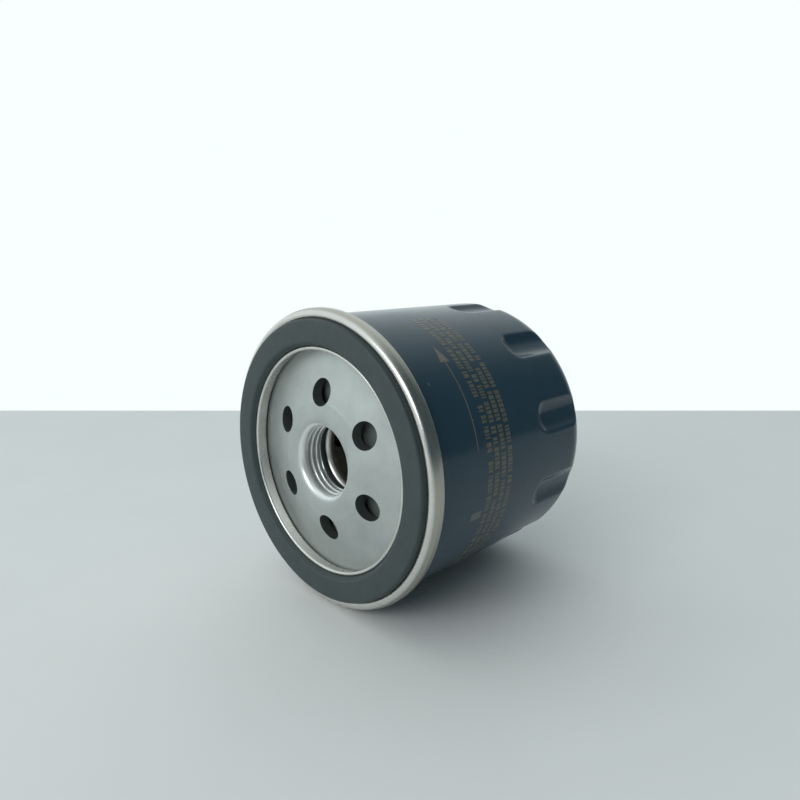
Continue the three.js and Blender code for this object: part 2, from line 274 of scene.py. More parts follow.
def tube_along(name, points, radius, sides=14):
    """A round wire along a list of points, with domed ends."""
    vertices, faces = [], []
    rings = []
    last = len(points) - 1
    for i, point in enumerate(points):
        here = Vector(point)
        ahead = Vector(points[min(i + 1, last)]) - Vector(points[max(i - 1, 0)])
        ahead.normalize()
        across = ahead.cross(Vector((0, 1, 0))).normalized()
        upward = across.cross(ahead)
        shrink = 0.6 if i in (0, last) else 1
        ring = []
        for k in range(sides):
            angle = 2 * math.pi * k / sides
            offset = across * math.cos(angle) + upward * math.sin(angle)
            ring.append(len(vertices))
            vertices.append(tuple(here + offset * radius * shrink))
        rings.append(ring)
    for first, second in zip(rings, rings[1:]):
        for k in range(sides):
            nearby = (k + 1) % sides
            faces.append((first[k], first[nearby], second[nearby], second[k]))
    faces += [rings[0][::-1], rings[-1]]
    return new_piece(name, vertices, faces, smooth_below=60)


def finish(piece, material, node, body=HOUSING):
    """Gives a piece its material, stands it in for a CAD node, and fixes it to a body."""
    piece.data.materials.clear()
    piece.data.materials.append(material)
    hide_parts(node)
    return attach(piece, body)


# ---- materials ------------------------------------------------------------------------------------

class Finish:
    """A node material under construction. Patterns are laid out in the object's own metres."""

    def __init__(self, name, color, roughness, metallic=0.0):
        self.material = bpy.data.materials.new(name)
        self.material.use_nodes = True
        self.tree = self.material.node_tree
        self.shader = self.tree.nodes["Principled BSDF"]
        self.shader.inputs["Base Color"].default_value = (*color, 1)
        self.shader.inputs["Roughness"].default_value = roughness
        self.shader.inputs["Metallic"].default_value = metallic
        coordinates = self.node("ShaderNodeTexCoord").outputs
        self.place = coordinates["Object"]
        self.upright = coordinates["Normal"]

    def node(self, kind, inputs=None, **settings):
        node = self.tree.nodes.new(kind)
        for key, value in settings.items():
            setattr(node, key, value)
        for key, value in (inputs or {}).items():
            self.set(node.inputs[key], value)
        return node

    def set(self, socket, value):
        if isinstance(value, bpy.types.NodeSocket):
            self.tree.links.new(value, socket)
        else:
            socket.default_value = value

    def noise(self, size, detail=3.0, roughness=0.55, place=None):
        """A cloud pattern from 0 to 1 with features about this many millimetres across."""
        inputs = {"Vector": place or self.place, "Scale": 1 / (size * MM), "Detail": detail,
                  "Roughness": roughness}
        return self.node("ShaderNodeTexNoise", inputs).outputs["Fac"]

    def stretched(self, x, y, z):
        inputs = {0: self.place, 1: (x, y, z)}
        return self.node("ShaderNodeVectorMath", inputs, operation="MULTIPLY").outputs[0]

    def calc(self, operation, first, second=0.0, clamp=False):
        inputs = {0: first, 1: second}
        return self.node("ShaderNodeMath", inputs, operation=operation, use_clamp=clamp).outputs[0]

    def remap(self, value, low, high, to_low=0.0, to_high=1.0):
        inputs = {"Value": value, "From Min": low, "From Max": high, "To Min": to_low, "To Max": to_high}
        return self.node("ShaderNodeMapRange", inputs).outputs["Result"]

    def mix(self, share, first, second):
        node = self.node("ShaderNodeMix", data_type="RGBA")
        self.set(node.inputs[0], share)
        self.set(node.inputs[6], first if not isinstance(first, tuple) else (*first, 1))
        self.set(node.inputs[7], second if not isinstance(second, tuple) else (*second, 1))
        return node.outputs[2]

    def color(self, value):
        self.set(self.shader.inputs["Base Color"], value)

    def roughness(self, value):
        self.set(self.shader.inputs["Roughness"], value)

    def bump(self, height, depth, strength=1.0):
        """Adds relief. depth is how far the height of 1 stands out, in millimetres."""
        inputs = {"Height": height, "Distance": depth * MM, "Strength": strength}
        bump = self.node("ShaderNodeBump", inputs)
        earlier = self.shader.inputs["Normal"].links
        if earlier:
            self.set(bump.inputs["Normal"], earlier[0].from_socket)
        self.set(self.shader.inputs["Normal"], bump.outputs["Normal"])

    def axis_radius(self):
        parts = self.node("ShaderNodeSeparateXYZ", {0: self.place}).outputs
        squared = self.calc("ADD", self.calc("MULTIPLY", parts[0], parts[0]),
                            self.calc("MULTIPLY", parts[2], parts[2]))
        return self.calc("SQRT", squared)


PAINT_IOR = 1.38


def gloss_paint():
    finish = Finish("gloss_navy_paint", (0.025, 0.058, 0.086), 0.2)
    clouds = finish.noise(9)
    finish.color(finish.mix(finish.remap(clouds, 0.3, 0.7), (0.024, 0.056, 0.083), (0.027, 0.061, 0.090)))
    smears = finish.noise(5, 4, 0.6, finish.stretched(1, 0.35, 1))
    finish.roughness(finish.remap(smears, 0.3, 0.75, 0.13, 0.22))
    finish.bump(finish.noise(12, 1), 0.06, 0.4)
    finish.shader.inputs["IOR"].default_value = PAINT_IOR
    return finish.material


def bright_tinplate(name, tone=0.93, roughness=0.28, shade_past_radius=None):
    """Tinned sheet. Past the given radius, in millimetres, its colour is painted darker and warmer: painted
    shade for the dim, warm reflection on the seam's outer band.
    """
    finish = Finish(name, (0.72 * tone, 0.71 * tone, 0.68 * tone), roughness, 1.0)
    patches = finish.noise(5, 3)
    darker, lighter = (0.68 * tone, 0.675 * tone, 0.64 * tone), (0.76 * tone, 0.755 * tone, 0.72 * tone)
    bright = finish.mix(finish.remap(patches, 0.3, 0.7), darker, lighter)
    if shade_past_radius:
        # painted shade: beyond the radius the tin is coloured darker and warmer, for the dim band beside
        # the bead
        painted_band_shade = finish.remap(finish.axis_radius(), shade_past_radius * MM, (shade_past_radius + 0.3) * MM)
        bright = finish.mix(painted_band_shade, bright, (0.46 * tone, 0.45 * tone, 0.40 * tone))
    finish.color(bright)
    streaks = finish.noise(1.2, 3, 0.6, finish.stretched(0.3, 2, 0.3))
    finish.roughness(finish.remap(streaks, 0.3, 0.7, roughness - 0.02, roughness + 0.03))
    finish.bump(finish.noise(8, 1), 0.02, 0.4)
    return finish.material


def satin_plate():
    """Plated steel with one faint ring, painted shade in the walls of its holes, and a cut thread painted
    bright: bare metal plus painted light.
    """
    finish = Finish("satin_plated_steel", (0.48, 0.515, 0.5), 0.5, 0.8)
    patches = finish.noise(7, 4, 0.6)
    plating = finish.mix(finish.remap(patches, 0.3, 0.72), (0.44, 0.475, 0.465), (0.52, 0.555, 0.54))
    # painted shade: the walls of the holes, and the plate's other walls outside the hub, are coloured dark
    normal = finish.node("ShaderNodeSeparateXYZ", {0: finish.upright}).outputs[1]
    upright_wall = finish.remap(finish.calc("ABSOLUTE", normal), 0.75, 0.45)
    radius = finish.axis_radius()
    hub_foot, cut_edge, bore_edge, ring_radius = 12.6 * MM, 10.0 * MM, 9.3 * MM, 14.9 * MM
    outside_hub = finish.remap(radius, hub_foot, hub_foot + 0.3 * MM)
    hole_wall_shade = finish.calc("MULTIPLY", upright_wall, outside_hub)
    plated = finish.mix(hole_wall_shade, plating, (0.16, 0.18, 0.175))
    # bare cut metal in the thread, painted brighter still: partly the metal's own colour, partly painted
    # light for the lit bore
    lit_cut_metal = finish.remap(radius, cut_edge, bore_edge)
    finish.color(finish.mix(lit_cut_metal, plated, (0.86, 0.89, 0.88)))
    finish.set(finish.shader.inputs["Metallic"], finish.remap(lit_cut_metal, 0, 1, 0.8, 0.55))
    grain = finish.noise(0.35, 3, 0.7)
    rough = finish.remap(grain, 0.25, 0.75, 0.43, 0.51)
    finish.roughness(finish.calc("SUBTRACT", rough, finish.calc("MULTIPLY", lit_cut_metal, 0.16)))
    finish.bump(grain, 0.006, 0.6)
    ring = finish.calc("ABSOLUTE", finish.calc("SUBTRACT", radius, ring_radius))
    finish.bump(finish.remap(ring, 0, 0.8 * MM, 1, 0), 0.06, 0.7)
    return finish.material


def rubber(name, dark, light, roughness):
    finish = Finish(name, dark, roughness)
    patches = finish.noise(4, 4, 0.6)
    finish.color(finish.mix(finish.remap(patches, 0.3, 0.75), dark, light))
    grain = finish.noise(0.3, 3, 0.7)
    finish.roughness(finish.remap(grain, 0.2, 0.8, roughness - 0.08, roughness + 0.1))
    finish.bump(grain, 0.015, 0.7)
    finish.bump(finish.noise(3, 2), 0.06, 0.4)
    return finish.material


def filter_paper():
    finish = Finish("filter_paper", (0.5, 0.34, 0.17), 0.92)
    fibres = finish.noise(0.5, 5, 0.75)
    finish.color(finish.mix(finish.remap(fibres, 0.25, 0.75), (0.42, 0.27, 0.12), (0.60, 0.43, 0.24)))
    finish.bump(fibres, 0.05, 0.8)
    return finish.material


def cured_adhesive(name, dark, light):
    finish = Finish(name, dark, 0.55)
    finish.color(finish.mix(finish.noise(2.5, 3), dark, light))
    finish.bump(finish.noise(1.8, 2), 0.12, 0.5)
    return finish.material


def spring_steel():
    finish = Finish("oiled_spring_steel", (0.34, 0.34, 0.35), 0.3, 1.0)
    drawn = finish.noise(0.6, 4, 0.6)
    finish.color(finish.mix(finish.remap(drawn, 0.3, 0.7), (0.26, 0.26, 0.27), (0.42, 0.42, 0.43)))
    finish.bump(drawn, 0.01, 0.6)
    return finish.material


def ink(name, color, wear=0.35):
    finish = Finish(name, color, 0.25)
    finish.shader.inputs["IOR"].default_value = PAINT_IOR
    worn = tuple(channel * (1 - wear) for channel in color)
    finish.color(finish.mix(finish.remap(finish.noise(0.8, 4, 0.7), 0.3, 0.65), worn, color))
    return finish.material


# ---- housing --------------------------------------------------------------------------------------

def flute_drop(y, angle):
    """How deep a flute is pressed in here. Its floor is nearly flat, and its front end is round."""
    pitch = 360 / FLUTE_COUNT
    degrees = (math.degrees(angle) - FLUTE_FIRST_ANGLE + pitch / 2) % pitch - pitch / 2
    across = math.radians(degrees) * CAN_RADIUS
    half = FLUTE_WIDTH / 2
    away = math.hypot(across, min(y - FLUTE_START - half, 0)) / half
    if away >= 1 + 2 * FLUTE_RIM / half:
        return 0
    drop = FLUTE_DEPTH * (1 - away ** FLUTE_SQUARENESS)
    return (drop + math.hypot(drop, FLUTE_RIM)) / 2 - 0.03


def can_shell():
    """The drawn can, with a hem that hooks into the lid and a slightly raised middle at its closed end."""
    wall = CAN_RADIUS - SHEET / 2
    hem_bend = 0.35
    hem = wall + 2 * hem_bend
    hem_front, hem_rear = 3.15, 3.9
    end = CAN_END - CROWN_RISE - SHEET / 2
    shoulder = end - SHOULDER_RADIUS
    flutes_near = FLUTE_START - 1
    flutes_even = FLUTE_START + 6
    path = stepped([(hem, hem_rear), (hem, hem_front)], 1)
    path += arc((hem + wall) / 2, hem_front, hem_bend, 0, -180, 6)[1:]
    path += stepped([(wall, hem_front), (wall, flutes_near)], 6)[1:]
    path += stepped([(wall, flutes_near), (wall, flutes_even)], 0.35)[1:]
    path += stepped([(wall, flutes_even), (wall, shoulder)], 1.6)[1:]
    path += arc(wall - SHOULDER_RADIUS, shoulder, SHOULDER_RADIUS, 0, 90, 20)[1:]
    crown = [(CROWN_RADIUS + 5, end, 6), (CROWN_RADIUS - 1, end + CROWN_RISE, 6), (0, end + CROWN_RISE)]
    path += stepped(filleted([path[-1], *crown], closed=False), 4)[1:]
    outline = sheet_outline(path)
    settled_radius = 20

    def press_flutes(index, radius, y, angle):
        if y < flutes_near:
            return radius, y
        outside = index >= len(outline) // 2
        surface = CAN_RADIUS if outside else CAN_RADIUS - SHEET
        limit = surface - flute_drop(y, angle)
        over = radius - limit
        settle = FLUTE_EASE / 2 * min(radius / settled_radius, 1)
        return radius - (over + math.hypot(over, FLUTE_EASE)) / 2 + settle, y

    return turned("can_shell_painted", outline, around=600, place=press_flutes)


def seaming_lid():
    """The lid, from its rolled inner lip through the gasket channel and bead to the seam's band."""
    band = SEAM_RADIUS - SHEET / 2
    bead_y = SEAM_FRONT + SHEET / 2 + BEAD_RADIUS
    hem = SEAM_REAR - SHEET / 2
    path = [*arc(LIP_RADIUS - LIP_ROLL, LIP_FRONT + SHEET / 2, LIP_ROLL, -200, 0, 8),
            (LIP_RADIUS, CHANNEL_FLOOR, CHANNEL_BEND), (CHANNEL_WALL, CHANNEL_FLOOR, CHANNEL_BEND),
            (CHANNEL_WALL, bead_y)]
    path = filleted(path, closed=False)[:-1]
    path += arc(CHANNEL_WALL + BEAD_RADIUS, bead_y, BEAD_RADIUS, 180, 350, 20)
    tail = [path[-1], (band, bead_y + 0.45, 0.3), (band, hem, 0.6), (CAN_RADIUS + 0.45, hem)]
    path += filleted(tail, closed=False, steps=6)[1:]
    return turned("seaming_lid_rolled", sheet_outline(path), around=256, smooth_below=60)


def plate_front(radius):
    """Where the front of the domed plate lies: level at its foot, and again where it turns into the hub."""
    share = min(max((DOME_FOOT_RADIUS - radius) / (DOME_FOOT_RADIUS - DOME_RADIUS), 0), 1)
    return DOME_FOOT_FRONT - (DOME_FOOT_FRONT - DOME_FRONT) * share * share * (3 - 2 * share)


def base_plate():
    """The domed plate, turned back at its middle into a threaded hub, with its inlet holes."""
    bore_start = DOME_FRONT + ROLL_RADIUS
    hub_edge = 0.3
    bore = stepped([(THREAD_RADIUS, HUB_END - hub_edge), (THREAD_RADIUS, bore_start)], THREAD_PITCH / 16)
    roll = arc(DOME_RADIUS, bore_start, ROLL_RADIUS, 180, 266, 12)[1:]
    dome_start = 11.3
    rings = 18
    stations = [dome_start + i * (DOME_FOOT_RADIUS - dome_start) / rings for i in range(rings + 1)]
    front = [(r, plate_front(r)) for r in stations]
    back = [(r, plate_front(r) + PLATE_THICKNESS) for r in reversed(stations[1:])]
    rim_start = DOME_FOOT_RADIUS + 1.2
    rim_back = PLATE_RIM_FRONT + PLATE_THICKNESS
    rim = [(rim_start, PLATE_RIM_FRONT), (PLATE_RADIUS, PLATE_RIM_FRONT, 0.5),
           (PLATE_RADIUS, rim_back, 0.5), (rim_start, rim_back)]
    hub_front = plate_front(HUB_RADIUS) + PLATE_THICKNESS
    hub = [(HUB_RADIUS, hub_front, hub_edge), (HUB_RADIUS, HUB_END, hub_edge),
           (THREAD_RADIUS + hub_edge, HUB_END)]
    outline = bore + roll + filleted([*front, *rim, *back, *hub])
    groove_width, groove_slope = 0.74, 0.66
    lead_in, lead_length = 0.1, 0.4

    def cut_thread(index, radius, y, angle):
        if index >= len(bore):
            return radius, y
        phase = (y / THREAD_PITCH + angle / (2 * math.pi)) % 1
        flank = min(max((groove_width - abs(phase - 0.5) * 2) / groove_slope, 0), 1)
        flank *= flank * (3 - 2 * flank)
        entry = min(max((y - bore_start - lead_in) / lead_length, 0), 1)
        return radius + THREAD_DEPTH * flank * entry, y

    plate = turned("base_plate_threaded", outline, around=256, place=cut_thread, smooth_below=50)
    carve(plate, [inlet_cutter(i) for i in range(INLET_COUNT)], smooth_below=34)
    return plate


def inlet_cutter(index):
    """A punch that leaves a slightly rounded edge on both faces of the dished plate."""
    angle = math.radians(INLET_FIRST_ANGLE + 360 * index / INLET_COUNT)
    slope = (plate_front(INLET_CIRCLE + 1) - plate_front(INLET_CIRCLE - 1)) / 2
    front = plate_front(INLET_CIRCLE)
    back = front + PLATE_THICKNESS
    edge = 0.2
    neck = 0.12
    clear = 2
    sides = 48
    mouth = INLET_RADIUS + edge
    wide = INLET_RADIUS + clear
    profile = [(0, front - clear), (wide, front - clear), (mouth, front - neck)]
    profile += arc(mouth, front + edge, edge, -90, -180, 5)
    profile += arc(mouth, back - edge, edge, 180, 90, 5)
    profile += [(mouth, back + neck), (wide, back + clear), (0, back + clear)]
    vertices, faces = [], []
    rows = len(profile)
    for side in range(sides):
        turn = 2 * math.pi * side / sides
        for radius, y in profile:
            outward = radius * math.cos(turn)
            sideways = radius * math.sin(turn)
            x = (INLET_CIRCLE + outward) * math.cos(angle) - sideways * math.sin(angle)
            z = (INLET_CIRCLE + outward) * math.sin(angle) + sideways * math.cos(angle)
            vertices.append((x, y + slope * outward, z))
        here, there = side * rows, (side + 1) % sides * rows
        for row in range(rows - 1):
            faces.append((here + row, here + row + 1, there + row + 1, there + row))
    return new_piece(f"inlet_cutter_{index}", vertices, faces)


def sealing_gasket():
    """A ring with a flat sealing face, which sits in the lid's channel and bulges over its outer wall."""
    inner = LIP_RADIUS + SHEET / 2 + 0.05
    channel = CHANNEL_WALL - SHEET / 2 - 0.1
    inner_front, face_inner = 1.3, 29.7
    bulge_rear, channel_front = 1.55, 2.0
    outline = [(inner, GASKET_REAR, 0.3), (inner, inner_front, 0.4), (face_inner, 0, 0.9),
               (GASKET_RADIUS - 0.1, 0, 0.7), (GASKET_RADIUS, bulge_rear, 0.1),
               (channel, channel_front, 0.1), (channel, GASKET_REAR, 0.3)]
    return turned("sealing_gasket_moulded", filleted(outline, steps=8), around=256, smooth_below=60)


# ---- print on the can -----------------------------------------------------------------------------

PRINT_LIFT = 0.03
PRINT_ROOT = 0.02


def ink_slab(vertices, faces, stations):
    """Adds a thin closed slab of ink on the can. A station is (angle in degrees, front y, rear y)."""
    start = len(vertices)
    for degrees, front, rear in stations:
        angle = math.radians(degrees)
        for radius in (CAN_RADIUS - PRINT_ROOT, CAN_RADIUS + PRINT_LIFT):
            vertices += [on_axis(radius, front, angle), on_axis(radius, rear, angle)]
    last = start + 4 * (len(stations) - 1)
    for corner in range(start, last, 4):
        for low, high in ((0, 1), (1, 3), (3, 2), (2, 0)):
            faces.append((corner + low, corner + high, corner + 4 + high, corner + 4 + low))
    for corner in (start, last):
        faces.append((corner, corner + 1, corner + 3, corner + 2))


def ink_patch(vertices, faces, first_angle, last_angle, front, rear):
    """Adds a patch of ink that follows the can between two angles, in degrees, and two y places."""
    steps = max(1, round(abs(last_angle - first_angle) / 1.5))
    ink_slab(vertices, faces, [(first_angle + (last_angle - first_angle) * k / steps, front, rear)
                               for k in range(steps + 1)])


def ink_piece(name, vertices, faces, material):
    piece = new_piece(name, vertices, faces)
    piece.data.materials.append(material)
    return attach(piece, HOUSING)


def print_rows(material):
    """Rows of small plain dashes in groups and blocks, where the real can has small print."""
    chance = random.Random(11)
    rows, pitch, front, height = 4, 2.55, 21.8, 1.7
    first_angle, last_angle = 72.5, -118
    dash_gap, group_gap, block_gap = 0.42, 1.0, 2
    block_ends = 0.06
    vertices, faces = [], []
    for row in range(rows):
        y = front + row * pitch
        angle = first_angle
        while angle > last_angle:
            for _ in range(chance.randint(2, 7)):
                width = chance.uniform(0.6, 1.7)
                ink_patch(vertices, faces, angle, angle - width, y, y + height)
                angle -= width + dash_gap
            angle -= group_gap
            if chance.random() < block_ends:
                angle -= block_gap
    return ink_piece("print_rows", vertices, faces, material)


def tightening_arrow(material):
    """A plain arrow round the can that shows which way the filter is tightened."""
    tip_angle, head_angle, tail_angle = 53.7, 46, 11
    middle, half_line, half_head, half_tip = 18.6, 0.15, 1.6, 0.05
    vertices, faces = [], []
    ink_patch(vertices, faces, head_angle, tail_angle, middle - half_line, middle + half_line)
    steps = 8
    head = []
    for k in range(steps + 1):
        half = max(half_head * k / steps, half_tip)
        head.append((tip_angle + (head_angle - tip_angle) * k / steps, middle - half, middle + half))
    ink_slab(vertices, faces, head)
    return ink_piece("print_arrow", vertices, faces, material)


def small_marks(material):
    """Plain specks of pale ink."""
    vertices, faces = [], []
    specks = [(38.9, 37.9, 9.3, 9.8), (22.4, 21.8, 18.8, 19.15), (-13, -16.3, 17, 20.8)]
    for first_angle, last_angle, front, rear in specks:
        ink_patch(vertices, faces, first_angle, last_angle, front, rear)
    return ink_piece("print_specks", vertices, faces, material)


# ---- inside ---------------------------------------------------------------------------------------

def anti_drain_valve():
    """A rubber diaphragm with a collar round the hub and a lip that thickens slightly at its edge."""
    inner, front, rear = HUB_RADIUS + 0.4, 6.0, 8.0
    outer = span("anti_drain_valve")[0]
    collar = inner + 1.4
    outline = [(inner, front, 0.2), (collar, front, 0.4), (collar, 7.0, 0.4), (22, 7.15, 1),
               (outer - 1.0, 7.35, 0.4), (outer, 7.5, 0.35), (outer, rear + 0.2, 0.3), (outer - 2, rear, 1),
               (inner, rear, 0.3)]
    return turned("anti_drain_valve_moulded", filleted(outline), around=160, smooth_below=60)


INNER_RADII = {
    "hub_seal_ring": THREAD_RADIUS + 0.4,
    "seam_compound": CAN_RADIUS,
    "front_potting": 13.4,
    "rear_potting": 13.4,
    "bypass_valve_seal": 5.9,
}


def ring(name, node, fillet, around=128):
    """A plain turned ring that fills a CAD ring's section, with rounded edges."""
    outer, front, rear = span(node)
    inner = INNER_RADII[node]
    corners = [(inner, front, fillet), (outer, front, fillet), (outer, rear, fillet), (inner, rear, fillet)]
    return turned(name, filleted(corners), around, smooth_below=60)


def front_end_cap():
    """A pressed disc with a rim round the paper and a flared collar into the centre tube."""
    disc = CAP_FRONT + SHEET / 2
    rim = CAP_RADIUS - SHEET / 2
    path = [(COLLAR_RADIUS, COLLAR_END), (COLLAR_RADIUS, disc, 1.8), (rim, disc, 0.8),
            (rim, disc + CAP_RIM_DEPTH)]
    outline = sheet_outline(filleted(path, closed=False, steps=6))
    return turned("front_end_cap_pressed", outline, around=160, smooth_below=60)


def rear_end_cap():
    """A pressed disc with a rim round the paper and a hole that the bypass valve's seat closes."""
    disc = REAR_CAP_REAR - SHEET / 2
    rim = CAP_RADIUS - SHEET / 2
    valve_hole = 11.2
    path = [(valve_hole, disc), (rim, disc, 0.8), (rim, disc - CAP_RIM_DEPTH)]
    outline = sheet_outline(filleted(path, closed=False, steps=6))
    return turned("rear_end_cap_pressed", outline, around=160, smooth_below=60)


def radial_cutter(name, width, height, centre_y, angle, inner, outer, corner):
    """A rounded block that points out from the axis, for windows and holes in a tube."""
    outline = filleted([(-width / 2, -height / 2, corner), (width / 2, -height / 2, corner),
                        (width / 2, height / 2, corner), (-width / 2, height / 2, corner)], steps=6)
    vertices, faces = [], []
    count = len(outline)
    for reach in (inner, outer):
        for across, up in outline:
            x = reach * math.cos(angle) - across * math.sin(angle)
            z = reach * math.sin(angle) + across * math.cos(angle)
            vertices.append((x, centre_y + up, z))
    faces += [tuple(range(count))[::-1], tuple(range(count, 2 * count))]
    for k in range(count):
        nearby = (k + 1) % count
        faces.append((k, nearby, count + nearby, count + k))
    return new_piece(name, vertices, faces)


def centre_tube():
    """A thin tube with four rows of six round holes, each row turned half a step from the last."""
    outer, front, rear = span("centre_tube")
    inner = outer - 0.5
    hole, corner, first_row, row_pitch = 4.3, 2.1, 18, 10.5
    outline = filleted([(inner, front), (outer, front, 0.1), (outer, rear, 0.1), (inner, rear)])
    tube = turned("centre_tube_perforated", outline, around=160)
    cutters = []
    for row in range(4):
        middle = first_row + row_pitch * row
        for k in range(6):
            angle = math.radians(60 * k + 30 * (row % 2))
            name = f"perforation_{row}_{k}"
            cutters.append(radial_cutter(name, hole, hole, middle, angle, outer - 3, outer + 3, corner))
    carve(tube, cutters)
    return tube


def pleated_media():
    """Star-folded paper with round folds and slightly bowed legs."""
    _, front, rear = span("pleated_media")
    pleats, inner, outer, thickness = 44, 14.9, 30.9, 0.55
    fold_rounding, leg_bow = 0.03, 0.10
    path = []
    per_pleat = 24
    for k in range(pleats * per_pleat):
        phase = k / per_pleat % 1
        wave = 2 * abs(phase - 0.5)
        rounded = wave - fold_rounding * math.sin(2 * math.pi * wave)
        lean = leg_bow * math.sin(2 * math.pi * phase)
        angle = 2 * math.pi * (k / per_pleat + lean) / pleats
        path.append(Vector((math.cos(angle), math.sin(angle))) * (inner + (outer - inner) * rounded))
    vertices, faces = [], []
    count = len(path)
    sides = []
    for k, point in enumerate(path):
        along = (path[(k + 1) % count] - path[k - 1]).normalized()
        across = Vector((-along.y, along.x)) * thickness / 2
        sides.append((point - across, point + across))
    for y in (front, rear):
        for low, high in sides:
            vertices += [(low.x, y, low.y), (high.x, y, high.y)]
    for k in range(count):
        a, b = 2 * k, 2 * ((k + 1) % count)
        c, d = 2 * count + a, 2 * count + b
        faces += [(a, b, d, c), (a + 1, c + 1, d + 1, b + 1), (a, a + 1, b + 1, b), (c, d, d + 1, c + 1)]
    return new_piece("pleated_media_folded", vertices, faces, smooth_below=60)


def media_seam_clip():
    """A strip folded over one fold of the paper. Its arms end while the fold still fits between them."""
    low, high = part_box("media_seam_clip")
    shorter = 0.7
    inner, outer, half = low.x / MM + shorter, high.x / MM, high.z / MM
    wall = 0.2
    path = [(inner, wall / 2 - half), (outer - wall / 2, wall / 2 - half, 0.3),
            (outer - wall / 2, half - wall / 2, 0.3), (inner, half - wall / 2)]
    section = sheet_outline(filleted(path, closed=False), wall)
    vertices, faces = [], []
    count = len(section)
    for y in (low.y / MM, high.y / MM):
        vertices += [(x, y, z) for x, z in section]
    half_count = count // 2
    for k in range(half_count - 1):
        near, far = k, count - 1 - k
        faces += [(near, near + 1, far - 1, far),
                  (count + near, count + far, count + far - 1, count + near + 1)]
    for k in range(count):
        nearby = (k + 1) % count
        faces.append((k, count + k, count + nearby, nearby))
    return new_piece("media_seam_clip_folded", vertices, faces)


def bypass_valve_seat():
    """A cup pressed into the rear end cap, with a flange at its mouth and the valve's hole in its floor."""
    _, low, high = span("bypass_valve_seat")
    thickness = 0.6
    flange, cup, hole = 12.4, 10.4, 5.5
    mouth, floor = high - thickness / 2, low + thickness / 2
    path = [(flange, mouth), (cup, mouth, 0.5), (cup, floor, 0.5), (hole, floor)]
    outline = sheet_outline(filleted(path, closed=False), thickness)
    return turned("bypass_valve_seat_pressed", outline, around=128, smooth_below=60)


def bypass_valve_cage():
    """A deeper cup with four windows for the oil, which holds the valve's spring."""
    _, low, high = span("bypass_valve_cage")
    flange, cup, hole = 11.7, 9.7, 3
    mouth, floor = high - SHEET / 2, low + SHEET / 2
    path = [(flange, mouth), (cup, mouth, 0.5), (cup, floor, 0.7), (hole, floor)]
    cage = turned("bypass_valve_cage_pressed", sheet_outline(filleted(path, closed=False)), around=128)
    middle = (low + high) / 2
    window_width, window_height = 8, 6.5
    windows = []
    for k in range(4):
        angle = math.radians(45 + 90 * k)
        windows.append(radial_cutter(f"window_{k}", window_width, window_height, middle, angle, 6, 14, 1))
    carve(cage, windows)
    return cage


def bypass_valve_disc():
    """A disc with a short tapered boss that centres the spring."""
    outer, front, rear = span("bypass_valve_disc")
    boss_tip, boss_foot = 3.3, 3.7
    face = front + 1
    outline = [(0, front), (boss_tip, front, 0.4), (boss_foot, face, 0.2), (outer, face, 0.2),
               (outer, rear, 0.2), (0, rear)]
    return turned("bypass_valve_disc_turned", filleted(outline), around=128)


def coil_spring(name, radius, wire, front, rear, turns, ground=0.75):
    """A compression spring. Over the ground turns at each end it climbs only one wire a turn."""
    points = []
    steps = round(turns * 40)
    for k in range(steps + 1):
        turn = turns * k / steps
        share = min(max((turn - ground) / (turns - 2 * ground), 0), 1)
        settled = 0.5 * share + 0.5 * share * share * (3 - 2 * share)
        start = min(turn, ground) * wire
        end = max(turn - turns + ground, 0) * wire
        y = front + wire / 2 + start + (rear - front - wire - 2 * ground * wire) * settled + end
        points.append(on_axis(radius, y, 2 * math.pi * turn))
    return tube_along(name, points, wire / 2)


# ---- build ----------------------------------------------------------------------------------------

paint = gloss_paint()
dull_tinplate = bright_tinplate("element_tinplate", tone=0.85, roughness=0.34)
plated = satin_plate()
gasket_rubber = rubber("gasket_rubber", (0.031, 0.047, 0.048), (0.043, 0.060, 0.061), 0.55)
valve_rubber = rubber("valve_rubber", (0.110, 0.135, 0.125), (0.150, 0.180, 0.168), 0.6)
paper = filter_paper()
plastisol = cured_adhesive("plastisol", (0.34, 0.3, 0.17), (0.45, 0.41, 0.26))
compound = cured_adhesive("seam_sealing_compound", (0.16, 0.15, 0.1), (0.26, 0.25, 0.18))
steel_wire = spring_steel()

finish(can_shell(), paint, "can_shell")
# the lid's tin is painted darker and warmer beyond 37.2 mm: painted shade on the seam's outer band
finish(seaming_lid(), bright_tinplate("lid_tinplate", shade_past_radius=37.2), "seaming_lid")
finish(base_plate(), plated, "base_plate")
finish(sealing_gasket(), gasket_rubber, "sealing_gasket")
finish(ring("seam_compound_lining", "seam_compound", 0.15), compound, "seam_compound")

print_rows(ink("ochre_ink", (0.155, 0.15, 0.115)))
tightening_arrow(ink("warm_ink", (0.20, 0.175, 0.155)))
small_marks(ink("speck_ink", (0.14, 0.155, 0.155)))

finish(anti_drain_valve(), valve_rubber, "anti_drain_valve", "anti_drain_valve")

finish(ring("hub_seal_ring_moulded", "hub_seal_ring", 0.3), gasket_rubber, "hub_seal_ring", ELEMENT)
